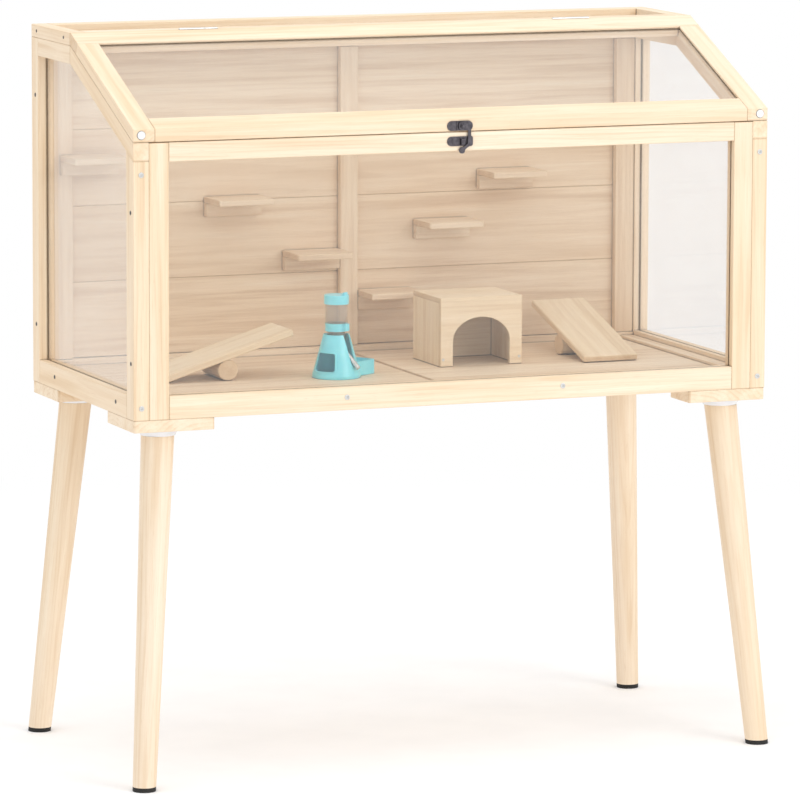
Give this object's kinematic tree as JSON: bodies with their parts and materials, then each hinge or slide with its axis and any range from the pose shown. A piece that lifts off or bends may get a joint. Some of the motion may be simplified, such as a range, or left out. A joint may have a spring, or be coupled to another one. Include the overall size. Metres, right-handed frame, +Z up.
{
  "type": "hamster cage",
  "caption": "Pine hamster cage on splayed round legs, with clear sides, a hinged sloping lid and hook latch, wall shelves, a hut, seesaws and a water bottle stand.",
  "frame": {"origin": "on the ground, below the middle of the cage", "axes": "+Z up, +X to the right seen from the front, the front faces -Y"},
  "size_m": [1.013, 0.5112, 1.0795],
  "materials": {
    "frame_wood": "sanded, clear matt",
    "board_wood": "sanded, clear matt",
    "toy_wood": "sanded, bare",
    "leg_wood": "turned and sanded, clear matt",
    "acrylic": "clear sheet, slight haze",
    "wire_mesh": "woven wire, coated",
    "gunmetal": "dark plated, satin",
    "dark_screw": "dark plated",
    "bright_screw": "zinc plated",
    "white_plastic": "moulded, satin",
    "black_rubber": "moulded, matt",
    "turquoise_plastic": "moulded, satin gloss",
    "clear_plastic": "clear moulded",
    "steel": "polished tube"
  },
  "bodies": {
    "cage": {"side_posts": "frame_wood", "side_bottom_rails": "frame_wood", "side_top_rails": "frame_wood", "side_slope_rails": "frame_wood", "front_stiles": "frame_wood", "front_top_rail": "frame_wood", "front_bottom_rail": "frame_wood", "roof_side_rails": "frame_wood", "roof_hinge_rail": "frame_wood", "roof_back_rail": "frame_wood", "leg_blocks": "frame_wood", "back_plank_1": "board_wood", "back_plank_2": "board_wood", "back_plank_3": "board_wood", "back_plank_4": "board_wood", "back_rails": "board_wood", "back_center_batten": "board_wood", "back_end_battens": "board_wood", "floor_panel_left": "board_wood", "floor_panel_right": "board_wood", "floor_side_battens": "board_wood", "floor_bearer": "board_wood", "shelf_boards": "board_wood", "shelf_cleats": "board_wood", "legs": "leg_wood", "side_panes": "acrylic", "front_pane": "acrylic", "roof_vent_mesh": "wire_mesh", "latch_keeper": "gunmetal", "frame_screws": "dark_screw", "front_screws": "bright_screw", "leg_bolts": "bright_screw", "hinge_leaves_roof": "bright_screw", "hinge_pins": "bright_screw", "leg_plates": "white_plastic", "leg_feet": "black_rubber"},
    "lid": {"lid_top_rail": "frame_wood", "lid_stiles": "frame_wood", "lid_front_rail": "frame_wood", "lid_pane": "acrylic", "lid_caps": "white_plastic", "hinge_leaves_lid": "bright_screw", "latch_plate": "gunmetal", "latch_rivet": "gunmetal"},
    "latch_hook": {"latch_arm": "gunmetal"},
    "hut": {"hut_front": "toy_wood", "hut_sides": "toy_wood", "hut_back": "toy_wood", "hut_roof": "toy_wood", "hut_screws": "bright_screw"},
    "left_seesaw": {"left_seesaw_plank": "toy_wood", "left_seesaw_log": "toy_wood"},
    "right_seesaw": {"right_seesaw_plank": "toy_wood", "right_seesaw_log": "toy_wood"},
    "bottle_stand": {"bottle_base": "turquoise_plastic", "bottle_dish": "turquoise_plastic"},
    "bottle": {"bottle_tube": "clear_plastic", "bottle_collar": "turquoise_plastic", "bottle_nozzle": "steel"},
    "bottle_top": {"bottle_cap": "turquoise_plastic"}
  },
  "joints": [
    {"name": "lid_hinge", "type": "hinge", "parent": "cage", "child": "lid", "pos_m": [0, 0.05, 1.0776], "axis": [-1, 0, 0], "range_deg": [0, 200]},
    {"name": "latch_swing", "type": "hinge", "parent": "lid", "child": "latch_hook", "pos_m": [0.0076, -0.23045, 0.9483], "axis": [0, -1, 0], "range_deg": [0, 110]},
    {"name": "hut_lift", "type": "slide", "parent": "cage", "child": "hut", "axis": [0, 0, 1], "range_m": [0, 0.15]},
    {"name": "left_seesaw_rock", "type": "hinge", "parent": "cage", "child": "left_seesaw", "pos_m": [-0.286, 0.002, 0.5789], "axis": [0, 1, 0], "range_deg": [0, 32.2]},
    {"name": "right_seesaw_rock", "type": "hinge", "parent": "cage", "child": "right_seesaw", "pos_m": [0.3287, 0.0555, 0.5789], "axis": [-1, 0, 0], "range_deg": [0, 32.2]},
    {"name": "stand_lift", "type": "slide", "parent": "cage", "child": "bottle_stand", "axis": [0, 0, 1], "range_m": [0, 0.15]},
    {"name": "bottle_lift", "type": "slide", "parent": "bottle_stand", "child": "bottle", "axis": [0, 0, 1], "range_m": [0, 0.08]},
    {"name": "cap_pull", "type": "slide", "parent": "bottle", "child": "bottle_top", "axis": [0, 0, 1], "range_m": [0, 0.03]}
  ]
}
